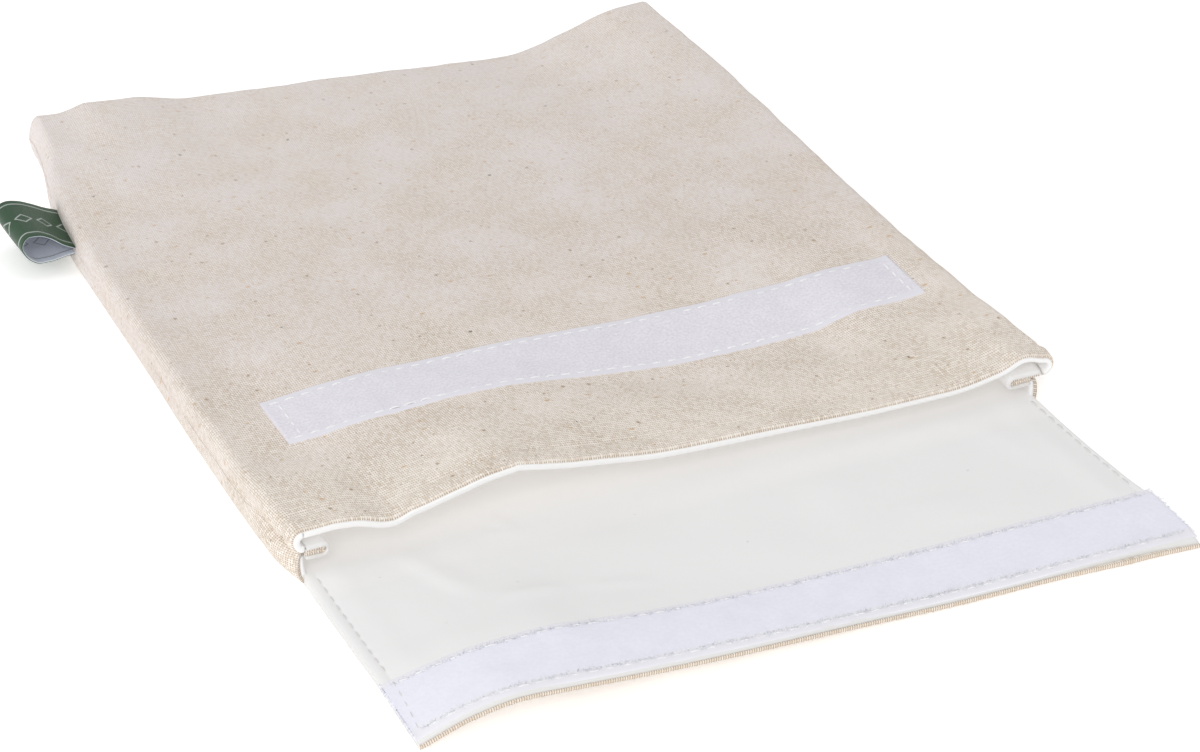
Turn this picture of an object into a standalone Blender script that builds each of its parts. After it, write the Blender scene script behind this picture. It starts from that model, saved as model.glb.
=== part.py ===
"""A flat cooler bag of hemp canvas with a white film lining, lying on its back panel with its flap open.

Lengths are in millimetres and the meshes in metres. In the bag's own frame x runs from left to right, y
from the mouth at 0 to the bottom seam, with the flap at negative y, and z up from the surface it lies on.
"""

import bisect
import math
from collections import namedtuple

import bmesh
import bpy
from mathutils import Vector

MM = 0.001

# Cloth and clearances
HEMP = 1.0
LINING = 1.0
TAPE = 1.0
GAP = 0.3
LEAF_GAP = 0.6
LINING_BELOW = HEMP + GAP
SEAM_HALF = 0.25

# The bag
BODY_LENGTH = 268.0
SEAM_ROLL = 4.0
LINING_PEEK = 0.8
LINING_SHORT = 0.5
UPPER_TURN = 3.2
LOWER_TURN = {-1: 3.6, 1: 3.0}
INSIDE_END = 256
CLOSING_FROM = 206

# The tapes
TAPE_WIDTH = 25.0
HOOK_LEFT = -95.2
HOOK_RIGHT = 101.7
HOOK_NEAR = 50.4
LOOP_NEAR = -82.3
LOOP_SIDE = 0.6
ROW_SLACK = 0.01

# The side label
LABEL_NEAR = 191.5
LABEL_FAR = 217.0
LABEL_ROWS = 4
LABEL_TUCK = 0.1

# Middle of the bag's outline, with its label, in the bag's own frame
CENTRE_X = -7.06
CENTRE_Y = 90.9

# Mesh: points closer than this, in metres, are one; steps across a face, round a side edge, along a
# gusset's leaf and round its fold; and the places of rows along the bag and its flap
SAME_POINT = 1e-6
FACE_STEPS = 25
TURN_STEPS = 5
LEAF_STEPS = 2
TIP_STEPS = 4
STATIONS = (0, 12, 26, 38, 50.4, 62.9, 75.4, 98, 124, 150, 178, 206, 226, 244, 256, 264)
FLAP_STATIONS = (-84.5, -82.3, -72, -57.3, -42, -28, -14)

# Rows of the bottom edge: how far round its roll each lies outwards, and over the seam, in degrees
Roll = namedtuple("Roll", "outwards over")
ROLLS = (Roll(45, 30), Roll(90, 62), Roll(90, 90))

# Sides, left and right: how far out the upper and the lower bulge reach, the height of the seam between
# them, and how far out the gusset's fold lies
Side = namedtuple("Side", "y upper lower seam fold")
SIDES = {
    -1: (
        Side(0, 113.2, 114.0, 8.9, 105.9),
        Side(14, 113.8, 115.2, 8.6, 105.4),
        Side(50, 113.6, 114.8, 6.5, 104.8),
        Side(85, 113.4, 114.2, 6.4, 103.8),
        Side(125, 112.6, 113.0, 6.8, 103.0),
        Side(182, 111.6, 112.0, 7.2, 102.0),
        Side(206, 110.4, 111.2, 7.4, 101.0),
        Side(230, 107.0, 107.6, 7.7, 99.0),
        Side(250, 103.2, 103.6, 8.2, 97.0),
        Side(268, 101.6, 101.6, 8.5, 96.0),
    ),
    1: (
        Side(0, 115.0, 112.2, 8.0, 103.6),
        Side(6, 115.8, 112.6, 7.9, 103.4),
        Side(22, 115.2, 112.8, 7.6, 103.0),
        Side(50, 114.1, 112.6, 6.6, 103.0),
        Side(92, 113.3, 111.8, 6.6, 102.6),
        Side(128, 113.4, 112.0, 6.6, 102.6),
        Side(166, 114.4, 113.0, 6.8, 103.0),
        Side(206, 114.9, 113.8, 7.0, 103.6),
        Side(249, 114.3, 113.6, 7.3, 104.0),
        Side(268, 113.2, 112.8, 7.5, 104.0),
    ),
}

# Top of the front panel: the places across it, and for each y the heights there
FRONT_PLACES = {
    "left edge": -111,
    "left shoulder": -97,
    "left dip": -84,
    "before the peak": -66,
    "peak": -49,
    "after the peak": -30,
    "middle": -4,
    "right slope": 30,
    "trough": 62,
    "rise": 82,
    "right shoulder": 98,
    "kink": 106,
    "right edge": 112,
}
FRONT_HEIGHTS = (
    (0, (15.8, 16.1, 13.8, 16.6, 20.6, 16.9, 13.8, 12.3, 10.9, 10.8, 13.0, 15.8, 14.2)),
    (25, (15.0, 15.0, 13.8, 15.0, 17.4, 15.8, 13.2, 10.4, 9.8, 11.0, 12.8, 14.2, 14.2)),
    (50, (12.6, 11.2, 12.0, 13.4, 14.2, 13.6, 10.4, 7.4, 7.6, 11.2, 11.8, 13.2, 13.9)),
    (75, (12.8, 11.2, 12.2, 13.4, 13.2, 13.2, 12.4, 11.0, 11.2, 12.6, 12.2, 13.4, 14.0)),
    (125, (13.0, 12.4, 12.6, 13.0, 13.0, 13.0, 12.8, 12.4, 12.4, 12.8, 13.2, 13.7, 14.0)),
    (190, (13.6, 13.0, 13.0, 12.8, 12.4, 12.0, 11.6, 11.2, 11.2, 12.0, 13.0, 13.6, 13.8)),
    (235, (15.0, 15.4, 15.8, 14.2, 12.0, 11.2, 10.2, 8.6, 7.2, 9.4, 13.0, 14.1, 14.2)),
    (264, (16.4, 17.2, 18.6, 16.8, 12.9, 11.6, 9.9, 7.2, 4.5, 9.2, 14.0, 14.7, 15.0)),
)

# Underside of the flap: the places across it, and for each y the heights there
FLAP_PLACES = {
    "left edge": -111,
    "left slope": -96,
    "wave": -84,
    "back of the wave": -68,
    "foot of the wave": -50,
    "left flat": -25,
    "middle": 5,
    "right flat": 45,
    "right edge": 110,
}
FLAP_HEIGHTS = (
    (-84.5, (0.9, 5.3, 6.8, 5.8, 4.4, 3.0, 1.9, 0.5, 0.0)),
    (-72, (1.2, 5.0, 6.4, 6.2, 4.6, 2.8, 1.2, 0.2, 0.0)),
    (-58, (1.0, 4.0, 5.6, 6.0, 4.0, 1.6, 0.4, 0.0, 0.0)),
    (-40, (0.2, 1.8, 3.0, 3.6, 2.4, 0.8, 0.2, 0.0, 0.0)),
    (-20, (0.0, 0.4, 0.8, 1.2, 0.8, 0.3, 0.0, 0.0, 0.0)),
    (0, (0.0, 0.0, 0.0, 0.0, 0.0, 0.0, 0.0, 0.0, 0.0)),
)

# Side edges of the flap
FlapSide = namedtuple("FlapSide", "y left right")
FLAP_SIDES = (
    FlapSide(-84.5, -111.9, 111.0),
    FlapSide(-63, -111.4, 111.6),
    FlapSide(-48, -110.9, 110.3),
    FlapSide(-17, -110.8, 109.2),
    FlapSide(0, -110.8, 109.2),
)

# Places along the flap's near edge
EdgePoint = namedtuple("EdgePoint", "x y")
FLAP_EDGE = (
    EdgePoint(-112, -85.1),
    EdgePoint(-90, -84.6),
    EdgePoint(60, -84.3),
    EdgePoint(95, -84.8),
    EdgePoint(111, -86.2),
)

# Section of the label's loop at its near and its far end: distance out from the seam and height over it
LoopPoint = namedtuple("LoopPoint", "near_out near_rise far_out far_rise")
LABEL_LOOP = (
    LoopPoint(0.0, -1.15, 0.0, -1.15),
    LoopPoint(3.6, -1.5, 4.2, -1.5),
    LoopPoint(7.8, -2.1, 9.2, -2.0),
    LoopPoint(11.4, -2.1, 13.4, -1.7),
    LoopPoint(14.4, -0.7, 17.2, 0.0),
    LoopPoint(16.5, 1.7, 19.6, 2.2),
    LoopPoint(17.4, 4.3, 20.6, 4.7),
    LoopPoint(16.4, 6.7, 19.4, 6.7),
    LoopPoint(14.2, 7.9, 16.4, 7.6),
    LoopPoint(11.4, 7.7, 13.0, 7.0),
    LoopPoint(7.4, 5.9, 8.5, 5.1),
    LoopPoint(3.6, 3.0, 4.0, 2.8),
    LoopPoint(0.0, 1.15, 0.0, 1.15),
)

FINISHES = {
    "hemp canvas": ((0.74, 0.67, 0.56), 0.92),
    "white film": ((0.86, 0.86, 0.84), 0.45),
    "hook tape": ((0.75, 0.74, 0.80), 0.7),
    "loop tape": ((0.77, 0.77, 0.86), 0.95),
    "green label": ((0.018, 0.075, 0.028), 0.4),
}


def smooth(knots, values, at):
    """The value at a place on the soft curve through the knots, which never swings past them."""
    if at <= knots[0]:
        return values[0]
    if at >= knots[-1]:
        return values[-1]
    i = bisect.bisect_right(knots, at) - 1
    width = knots[i + 1] - knots[i]
    rise = values[i + 1] - values[i]
    t = (at - knots[i]) / width
    start = slope(knots, values, i) * width
    end = slope(knots, values, i + 1) * width
    return (
        values[i]
        + start * t
        + (3 * rise - 2 * start - end) * t**2
        + (start + end - 2 * rise) * t**3
    )


def slope(knots, values, i):
    """Slope at a knot: level at a turning point, and that of its only side at either end."""
    last = len(knots) - 1
    before = None if i == 0 else (values[i] - values[i - 1]) / (knots[i] - knots[i - 1])
    after = None if i == last else (values[i + 1] - values[i]) / (knots[i + 1] - knots[i])
    if before is None:
        return after
    if after is None:
        return before
    return 2 * before * after / (before + after) if before * after > 0 else 0.0


def from_table(table, column, y):
    return smooth([row.y for row in table], [getattr(row, column) for row in table], y)


def height_on(places, rows, x, y):
    """Height of a panel, from the heights under its places at each y."""
    along = [row[0] for row in rows]
    across = [smooth(along, [row[1][k] for row in rows], y) for k in range(len(places))]
    return smooth(list(places.values()), across, x)


def front_height(x, y):
    return height_on(FRONT_PLACES, FRONT_HEIGHTS, x, y)


def flap_height(x, y):
    return height_on(FLAP_PLACES, FLAP_HEIGHTS, x, y)


def closing(y):
    """How far the side folds have closed into the bottom corners, from 0 to 1."""
    t = min(max((y - CLOSING_FROM) / (INSIDE_END - CLOSING_FROM), 0.0), 1.0)
    return t * t * (3 - 2 * t)


def side_turn(side, upper, y):
    """The points where a panel turns round a side edge, from its face to the side seam."""
    reach = from_table(SIDES[side], "upper" if upper else "lower", y)
    depth = UPPER_TURN if upper else LOWER_TURN[side]
    seam = from_table(SIDES[side], "seam", y) + (SEAM_HALF if upper else -SEAM_HALF)
    face = front_height(side * (reach - depth), y) if upper else 0.0
    turn = math.radians(180 - 90 * closing(y))
    rise = (seam - face) / (1 - math.cos(turn))
    points = []
    for k in range(TURN_STEPS + 1):
        angle = turn * k / TURN_STEPS
        out = reach - depth * (1 - math.sin(angle))
        points.append(Vector((side * out, y, face + rise * (1 - math.cos(angle)))))
    return points


def panel_row(upper, y):
    """One row of a panel: from its left seam round the edge, over the face and round to its right seam."""
    left = side_turn(-1, upper, y)
    right = side_turn(1, upper, y)
    face = []
    for k in range(1, FACE_STEPS):
        x = left[0].x + (right[0].x - left[0].x) * k / FACE_STEPS
        face.append(Vector((x, y, front_height(x, y) if upper else 0.0)))
    return left[::-1] + face + right


def panel_rows(upper):
    """A body panel from the mouth to the bottom seam, where it rolls half way round the bag's end."""
    rows = [panel_row(upper, y) for y in STATIONS]
    last = rows[-1]
    half = SEAM_HALF if upper else -SEAM_HALF
    for roll in ROLLS:
        place = BODY_LENGTH - SEAM_ROLL * (1 - math.sin(math.radians(roll.outwards)))
        rolled = []
        for k, point in enumerate(last):
            seam = front_height(point.x, BODY_LENGTH) / 2 + half
            if k < TURN_STEPS:
                seam = last[0].z
            if k >= len(last) - TURN_STEPS:
                seam = last[-1].z
            rise = (point.z - seam) * math.cos(math.radians(roll.over))
            rolled.append(Vector((point.x, place, seam + rise)))
        rows.append(rolled)
    return rows


def edge_place(x):
    """How near the flap's edge lies."""
    return smooth([point.x for point in FLAP_EDGE], [point.y for point in FLAP_EDGE], x)


def flap_row(y):
    """One row of the flap, with open places where the panel further in turns round its edges."""
    left = from_table(FLAP_SIDES, "left", y)
    right = from_table(FLAP_SIDES, "right", y)
    row = []
    for k in range(FACE_STEPS + 1):
        x = left + (right - left) * k / FACE_STEPS
        place = edge_place(x) if y == FLAP_STATIONS[0] else y
        row.append(Vector((x, place, flap_height(x, y))))
    blank = [None] * TURN_STEPS
    return blank + row + blank


def trimmed(row):
    """A lining's row, which stops shorter at its seams where the side folds close, to clear the gussets."""
    cut = LINING_BELOW * closing(row[0].y)
    ends = []
    for last, before in ((row[0], row[1]), (row[-1], row[-2])):
        ends.append(last + (before - last).normalized() * cut)
    return [ends[0], *row[1:-1], ends[1]]


def gusset_row(side, y, depth):
    """One row of a gusset's outer face: along the upper leaf, round the fold and back along the lower leaf.

    The leaves stop short of the panels' edges by the depth that a panel reaches behind its own face.
    """
    ends = []
    for upper in (True, False):
        before, last = side_turn(side, upper, y)[-2:]
        lean = abs(last.z - before.z) / (last - before).length
        ends.append(abs(last.x) - LEAF_GAP - depth * lean)
    fold = from_table(SIDES[side], "fold", y)
    middle = from_table(SIDES[side], "seam", y)
    section = []
    for k in range(LEAF_STEPS):
        section.append((ends[0] + (fold - ends[0]) * k / LEAF_STEPS, SEAM_HALF))
    for k in range(TIP_STEPS + 1):
        angle = math.pi * k / TIP_STEPS
        section.append((fold - SEAM_HALF * math.sin(angle), SEAM_HALF * math.cos(angle)))
    for k in range(1, LEAF_STEPS + 1):
        section.append((fold + (ends[1] - fold) * k / LEAF_STEPS, -SEAM_HALF))
    return [Vector((side * out, y, middle + rise)) for out, rise in section]


def beyond(row, inner, reach):
    """A row moved outwards by a distance, straight on from the row inside it."""
    moved = []
    for point, other in zip(row, inner):
        if point is None or other is None:
            moved.append(None)
            continue
        step = point - other
        moved.append(point + step * (reach / abs(step.y)))
    return moved


def under_tape(rows, near, left=None, right=None):
    """The part of a cloth's rows that a tape covers; with no ends given it stops just inside the cloth's."""
    covered = []
    for row in rows:
        cloth = [point for point in row if point is not None]
        if near - ROW_SLACK < cloth[0].y < near + TAPE_WIDTH + ROW_SLACK:
            start = cloth[0].x + LOOP_SIDE if left is None else left
            stop = cloth[-1].x - LOOP_SIDE if right is None else right
            inner = [point for point in cloth if start < point.x < stop]
            covered.append([on_row(cloth, start), *inner, on_row(cloth, stop)])
    return covered


def on_row(row, x):
    for first, second in zip(row, row[1:]):
        if first.x <= x <= second.x:
            return first.lerp(second, (x - first.x) / (second.x - first.x))
    raise ValueError("the row doesn't reach that far")


def label_rows():
    """The label's outer face: one row for each y, following the section of its loop."""
    rows = []
    for k in range(LABEL_ROWS):
        share = k / (LABEL_ROWS - 1)
        y = LABEL_NEAR + (LABEL_FAR - LABEL_NEAR) * share
        edges = [from_table(SIDES[-1], column, y) for column in ("upper", "lower")]
        root = min(edges) - LABEL_TUCK
        seam = from_table(SIDES[-1], "seam", y)
        row = []
        for point in LABEL_LOOP:
            out = point.near_out + (point.far_out - point.near_out) * share
            rise = point.near_rise + (point.far_rise - point.near_rise) * share
            row.append(Vector((-root - out, y, seam + rise)))
        rows.append(row)
    return rows


def finish(name):
    colour, roughness = FINISHES[name]
    material = bpy.data.materials.get(name) or bpy.data.materials.new(name)
    material.use_nodes = True
    shader = material.node_tree.nodes["Principled BSDF"]
    shader.inputs["Base Color"].default_value = (*colour, 1)
    shader.inputs["Roughness"].default_value = roughness
    shader.inputs["Metallic"].default_value = 0
    return material


def sheet(name, rows, below, thickness, finish_name, turned=False):
    """A cloth that lies a distance behind a face given by rows of points; None leaves a place open."""
    model = bmesh.new()
    centre = Vector((CENTRE_X, CENTRE_Y, 0))
    corners = [[point and model.verts.new((point - centre) * MM) for point in row] for row in rows]
    for low, high in zip(corners, corners[1:]):
        for k in range(len(low) - 1):
            near, far = low[k : k + 2], high[k : k + 2]
            if None in near + far:
                continue
            split = k >= len(low) // 2
            for half in ((*near, far[split]), (far[1], far[0], near[not split])):
                model.faces.new(half[::-1] if turned else half)
    bmesh.ops.remove_doubles(model, verts=model.verts, dist=SAME_POINT)
    mesh = bpy.data.meshes.new(name)
    model.to_mesh(mesh)
    model.free()
    mesh.shade_smooth()
    mesh.materials.append(finish(finish_name))
    cloth = bpy.data.objects.new(name, mesh)
    bpy.data.collections["cooler bag"].objects.link(cloth)
    solidify = cloth.modifiers.new("cloth thickness", "SOLIDIFY")
    solidify.thickness = thickness * MM
    solidify.offset = -1 - 2 * below / thickness
    solidify.use_even_offset = True
    solidify.use_quality_normals = True


def clear_scene():
    for thing in list(bpy.data.objects):
        bpy.data.objects.remove(thing, do_unlink=True)
    bag = bpy.data.collections.new("cooler bag")
    bpy.context.scene.collection.children.link(bag)


def make_front():
    rows = panel_rows(True)
    sheet("front_panel", rows, 0, HEMP, "hemp canvas")
    mouth = beyond(rows[0], rows[1], LINING_PEEK)
    inner = [mouth] + [trimmed(row) for row in rows[1 : STATIONS.index(INSIDE_END) + 1]]
    sheet("front_lining", inner, LINING_BELOW, LINING, "white film")
    hook = under_tape(rows, HOOK_NEAR, HOOK_LEFT, HOOK_RIGHT)
    sheet("hook_tape", hook, -GAP - TAPE, TAPE, "hook tape")


def make_back():
    rows = panel_rows(False)
    flap = [flap_row(y) for y in FLAP_STATIONS]
    sheet("back_panel_and_flap", flap + rows, 0, HEMP, "hemp canvas", True)
    edge = beyond(flap[0], flap[1], -LINING_SHORT)
    body = [trimmed(row) for row in rows[: STATIONS.index(INSIDE_END) + 1]]
    inner = [edge] + flap[1:] + body
    sheet("back_and_flap_lining", inner, LINING_BELOW, LINING, "white film", True)
    loop = under_tape(flap, LOOP_NEAR)
    sheet("loop_tape", loop, LINING_BELOW + LINING + GAP, TAPE, "loop tape", True)


def make_gusset(side, word):
    stations = STATIONS[: STATIONS.index(INSIDE_END) + 1]
    rows = [gusset_row(side, y, HEMP) for y in stations]
    sheet(f"{word}_gusset", rows, 0, HEMP, "hemp canvas", side < 0)
    inner = [gusset_row(side, y, LINING_BELOW + LINING) for y in stations]
    inner[0] = beyond(inner[0], inner[1], LINING_PEEK)
    sheet(f"{word}_gusset_lining", inner, LINING_BELOW, LINING, "white film", side < 0)


def make_label():
    sheet("side_label", label_rows(), 0, TAPE, "green label")


def main():
    clear_scene()
    make_front()
    make_back()
    make_gusset(-1, "left")
    make_gusset(1, "right")
    make_label()


main()
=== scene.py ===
"""The cooler bag as it looks: hemp canvas, white film lining, sewn hook and loop tapes and a satin label.

Lengths are in millimetres in the bag's own frame: x runs from left to right, y from the mouth at 0 to the
bottom seam, with the flap at negative y, and z up from the surface it lies on. Meshes are in metres.
"""

import math
from collections import namedtuple

import bpy
import numpy as np
from mathutils import Matrix, Vector


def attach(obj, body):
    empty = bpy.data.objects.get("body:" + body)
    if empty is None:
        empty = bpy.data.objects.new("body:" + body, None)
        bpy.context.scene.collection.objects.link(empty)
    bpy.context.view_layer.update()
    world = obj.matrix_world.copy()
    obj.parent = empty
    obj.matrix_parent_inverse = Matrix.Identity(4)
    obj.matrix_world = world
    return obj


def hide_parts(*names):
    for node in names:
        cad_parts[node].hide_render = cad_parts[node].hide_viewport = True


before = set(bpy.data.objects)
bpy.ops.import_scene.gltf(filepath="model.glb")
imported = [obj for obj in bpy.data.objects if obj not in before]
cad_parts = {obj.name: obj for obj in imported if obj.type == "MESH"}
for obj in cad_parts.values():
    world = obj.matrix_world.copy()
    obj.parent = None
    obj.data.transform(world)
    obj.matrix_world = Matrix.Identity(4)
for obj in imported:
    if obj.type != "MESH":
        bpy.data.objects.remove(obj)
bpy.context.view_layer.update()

MM = 0.001

# Cloth and clearances, and the ribbon's thickness
HEMP = 1.0
LINING = 1.0
GAP = 0.3
LEAF_GAP = 0.6
LINING_BELOW = HEMP + GAP
LOOP_BELOW = LINING_BELOW + LINING + GAP
SEAM_HALF = 0.25
RIBBON = 0.55

# The bag
BODY_LENGTH = 268.0
SEAM_ROLL = 4.0
LINING_PEEK = 0.8
LINING_SHORT = 0.5
UPPER_TURN = 3.2
LOWER_TURN = {-1: 3.6, 1: 3.0}
LOWER_SQUEEZE, SQUEEZE_FADE = 0.65, 7.0
INSIDE_END = 256
CLOSING_FROM = 206
FLAP_END = -84.5

# The tapes
TAPE_WIDTH = 25.0
HOOK_LEFT = -95.2
HOOK_RIGHT = 101.7
HOOK_NEAR = 50.4
LOOP_NEAR = -82.3
LOOP_SIDE = -0.5
LOOP_FORWARD = 1.3
SELVEDGE = 2.6
TAPE_THINNING = 0.22

# The flap's edges: how far the canvas draws in at its sides, its hem's line, the place, width and reach of
# the bulge near its right corner, and the y past which its near edge counts
WRAP = 1.8
HEM_LINE = 3.4
EDGE_BULGE, BULGE_WIDTH, BULGE_OUT = 90.0, 15, 0.9
NEAR_PART = -40

# The side label
LABEL_NEAR = 191.5
LABEL_FAR = 217.0
LABEL_TUCK = 0.1
LABEL_SHORT = 0.95

# Middle of the bag's outline, with its label, in the bag's own frame
CENTRE = np.array((-7.06, 90.9, 0.0))

# Mesh: the steps across a face, along it, round a side edge and round the bottom, and how far in from an
# edge the closer rows lie that round it
ACROSS = 1.7
ALONG = 1.7
TURN_STEPS = 14
ROLL_STEPS = 8
EDGE_ROWS = (0.05, 0.18, 0.4, 0.8)
NO_EDGE = 99.0
# How far in from a cut edge its frayed thread colour and painted shade reach
EDGE_WEAR_AND_SHADE = 0.7

# Camera: its heading, dip and roll in degrees, its place in the bag's frame and its lens
HEADING, DIP, CAMERA_ROLL = 23.81, 29.83, -0.84
CAMERA_PLACE = (-395.7, -841.6, 569.0)
LENS, SENSOR = 119.85, 36.0

# Sides, left and right: how far out the upper and the lower bulge reach, the height of the seam between
# them, and how far out the gusset's fold lies
Side = namedtuple("Side", "y upper lower seam fold")
SIDES = {
    -1: (
        Side(0, 113.2, 114.0, 8.9, 105.9),
        Side(14, 113.8, 115.2, 8.6, 105.4),
        Side(50, 113.6, 114.8, 6.5, 104.8),
        Side(85, 113.4, 114.2, 6.4, 103.8),
        Side(125, 112.6, 113.0, 6.8, 103.0),
        Side(182, 111.6, 112.0, 7.2, 102.0),
        Side(206, 110.4, 111.2, 7.4, 101.0),
        Side(230, 107.0, 107.6, 7.7, 99.0),
        Side(250, 103.2, 103.6, 8.2, 97.0),
        Side(268, 101.6, 101.6, 8.5, 96.0),
    ),
    1: (
        Side(0, 115.0, 112.2, 8.0, 103.6),
        Side(6, 115.8, 112.6, 7.9, 103.4),
        Side(22, 115.2, 112.8, 7.6, 103.0),
        Side(50, 114.1, 112.6, 6.6, 103.0),
        Side(92, 113.3, 111.8, 6.6, 102.6),
        Side(128, 113.4, 112.0, 6.6, 102.6),
        Side(166, 114.4, 113.0, 6.8, 103.0),
        Side(206, 114.9, 113.8, 7.0, 103.6),
        Side(249, 114.3, 113.6, 7.3, 104.0),
        Side(268, 113.2, 112.8, 7.5, 104.0),
    ),
}

# Top of the front panel: the places across it, and for each y the heights there
FRONT_PLACES = (-111, -97, -84, -66, -49, -30, -4, 30, 62, 82, 98, 106, 112)
FRONT_HEIGHTS = (
    (0, (15.8, 16.1, 13.8, 16.6, 20.6, 16.9, 13.8, 12.3, 10.9, 10.8, 13.0, 15.8, 14.2)),
    (25, (15.0, 15.0, 13.8, 15.0, 17.4, 15.8, 13.2, 10.4, 9.8, 11.0, 12.8, 14.2, 14.2)),
    (50, (12.6, 11.2, 12.0, 13.4, 14.2, 13.6, 10.4, 7.4, 7.6, 11.2, 11.8, 13.2, 13.9)),
    (75, (12.8, 11.2, 12.2, 13.4, 13.2, 13.2, 12.4, 11.0, 11.2, 12.6, 12.2, 13.4, 14.0)),
    (125, (13.0, 12.4, 12.6, 13.0, 13.0, 13.0, 12.8, 12.4, 12.4, 12.8, 13.2, 13.7, 14.0)),
    (190, (13.6, 13.0, 13.0, 12.8, 12.4, 12.0, 11.6, 11.2, 11.2, 12.0, 13.0, 13.6, 13.8)),
    (235, (15.0, 15.4, 15.8, 14.2, 12.0, 11.2, 10.2, 8.6, 7.2, 9.4, 13.0, 14.1, 14.2)),
    (264, (16.4, 17.2, 18.6, 16.8, 12.9, 11.6, 9.9, 7.2, 4.5, 9.2, 14.0, 14.7, 15.0)),
)

# How much sharper the mouth's edge is folded: places across it, the lift there, and how far back it goes
MOUTH_PLACES = (-106, -101, -97, -92, -88, -84, -79.5, -75, -66.5, -62, -58, -53.5, -50, -49, -46.5, -42,
                -38, -30, -22, -8)
MOUTH_LIFTS = (0.4, 0.5, 0.0, -0.25, -0.7, -0.75, 0.7, 0.85, 1.2, 1.2, 0.85, 0.15, 0.0, 0.4, 0.0, -0.2,
               0.0, 0.45, 0.4, 0.0)
MOUTH_FADE = 18.0

# The same for the far left corner's ear, and how much squarer the bottom turns there
EAR_PLACES = (-101.6, -98, -92, -88, -84, -74, -66)
EAR_LIFTS = (0.6, -0.6, -1.7, -1.1, 0.0, -0.6, 0.0)
EAR_FADE, EAR_SQUARE = 14.0, 0.38

# How much of the groove between the side bulges is closed, away from the mouth
GROOVE_FILL, GROOVE_FROM, GROOVE_FADE = 0.95, 6.0, 26.0

# Underside of the flap: the places across it, and for each y the heights there
FLAP_PLACES = (-111, -96, -84, -68, -50, -25, 5, 45, 110)
FLAP_HEIGHTS = (
    (-84.5, (0.9, 5.3, 6.8, 5.8, 4.4, 3.0, 1.9, 0.5, 0.0)),
    (-72, (1.2, 5.0, 6.4, 6.2, 4.6, 2.8, 1.2, 0.2, 0.0)),
    (-58, (1.0, 4.0, 5.6, 6.0, 4.0, 1.6, 0.4, 0.0, 0.0)),
    (-40, (0.2, 1.8, 3.0, 3.6, 2.4, 0.8, 0.2, 0.0, 0.0)),
    (-20, (0.0, 0.4, 0.8, 1.2, 0.8, 0.3, 0.0, 0.0, 0.0)),
    (0, (0.0, 0.0, 0.0, 0.0, 0.0, 0.0, 0.0, 0.0, 0.0)),
)

# Side edges of the flap
FlapSide = namedtuple("FlapSide", "y left right")
FLAP_SIDES = (
    FlapSide(-84.5, -111.9, 111.0),
    FlapSide(-63, -111.4, 111.6),
    FlapSide(-48, -110.9, 110.3),
    FlapSide(-17, -110.8, 109.2),
    FlapSide(0, -110.8, 109.2),
)

# Places along the flap's near edge
EdgePoint = namedtuple("EdgePoint", "x y")
FLAP_EDGE = (
    EdgePoint(-112, -85.1),
    EdgePoint(-90, -84.6),
    EdgePoint(60, -84.3),
    EdgePoint(95, -84.8),
    EdgePoint(111, -86.2),
)

# Section of the label's loop at its near and its far end: distance out from the seam and height over it
LoopPoint = namedtuple("LoopPoint", "near_out near_rise far_out far_rise")
LABEL_LOOP = (
    LoopPoint(0.0, -1.15, 0.0, -1.15),
    LoopPoint(3.6, -1.5, 4.2, -1.5),
    LoopPoint(7.8, -2.1, 9.2, -2.0),
    LoopPoint(11.4, -2.1, 13.4, -1.7),
    LoopPoint(14.4, -0.7, 17.2, 0.0),
    LoopPoint(16.5, 1.7, 19.6, 2.2),
    LoopPoint(17.4, 4.3, 20.6, 4.7),
    LoopPoint(16.4, 6.7, 19.4, 6.7),
    LoopPoint(14.2, 7.9, 16.4, 7.6),
    LoopPoint(11.4, 7.7, 13.0, 7.0),
    LoopPoint(7.4, 5.9, 8.5, 5.1),
    LoopPoint(3.6, 3.0, 4.0, 2.8),
    LoopPoint(0.0, 1.15, 0.0, 1.15),
)

# Creases: a soft ridge from one place to another, its height, and how wide it is on its left and right
Crease = namedtuple("Crease", "x0 y0 x1 y1 height left right")
LINING_CREASES = (
    Crease(-100, 8, 96, 6, 1.0, 16.0, 8.5),
    Crease(-86, 4, -73, -36, 0.7, 5.0, 2.2),
    Crease(-73, -36, -49, -38, 0.45, 3.0, 3.0),
    Crease(-56, 6, -50, -6, 0.5, 1.6, 1.2),
    Crease(-60, -2, -49, -6, 0.35, 1.2, 1.6),
    Crease(-50, -39, -27, -44, 0.3, 2.5, 1.5),
    Crease(36, -8, 30, -54, 0.4, 10.0, 7.0),
    Crease(60, -34, 58, -54, 0.45, 9.0, 12.0),
    Crease(84, 0, 98, -40, 0.35, 7.0, 5.0),
)
HEMP_CREASES = (
    Crease(-60, 268, -96, 236, 0.5, 6.0, 7.0),
    Crease(-104, 262, -78, 200, 0.6, 4.0, 6.0),
    Crease(78, 268, 88, 214, 0.5, 6.0, 5.0),
    Crease(-102, 48, -99, 96, 0.45, 4.0, 4.0),
    Crease(-52, 0, -60, 46, 0.35, 3.5, 3.5),
    Crease(99, 4, 104, 44, 0.3, 3.0, 3.0),
)

# The mouth's hem: how deep it is, how much it stands up, and the hollow behind it
HEM_DEPTH, HEM_RISE, HEM_HOLLOW, HOLLOW_WIDTH = 6.2, 0.3, 0.35, 1.5

# Painted light: how strongly the film glows inside the bag to lighten the shade there, and from where to
# where it grows full
PAINTED_GLOW, PAINTED_GLOW_FROM, PAINTED_GLOW_TO = 0.135, -14.0, 12.0

# Sewing: length of a stitch, the space to the next, the thread's radius and how far it stands up
STITCH, SPACE, THREAD, LIFT = 3.7, 1.0, 0.18, 0.16

# The thread's radius on the hook tape, on the loop tape and elsewhere, and how far in from a tape's near
# and far edge its lines of stitches lie
HOOK_THREAD, LOOP_THREAD, FINE_THREAD = 0.24, 0.2, 0.14
NEAR_IN, FAR_IN = 2.3, 3.0

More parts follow.
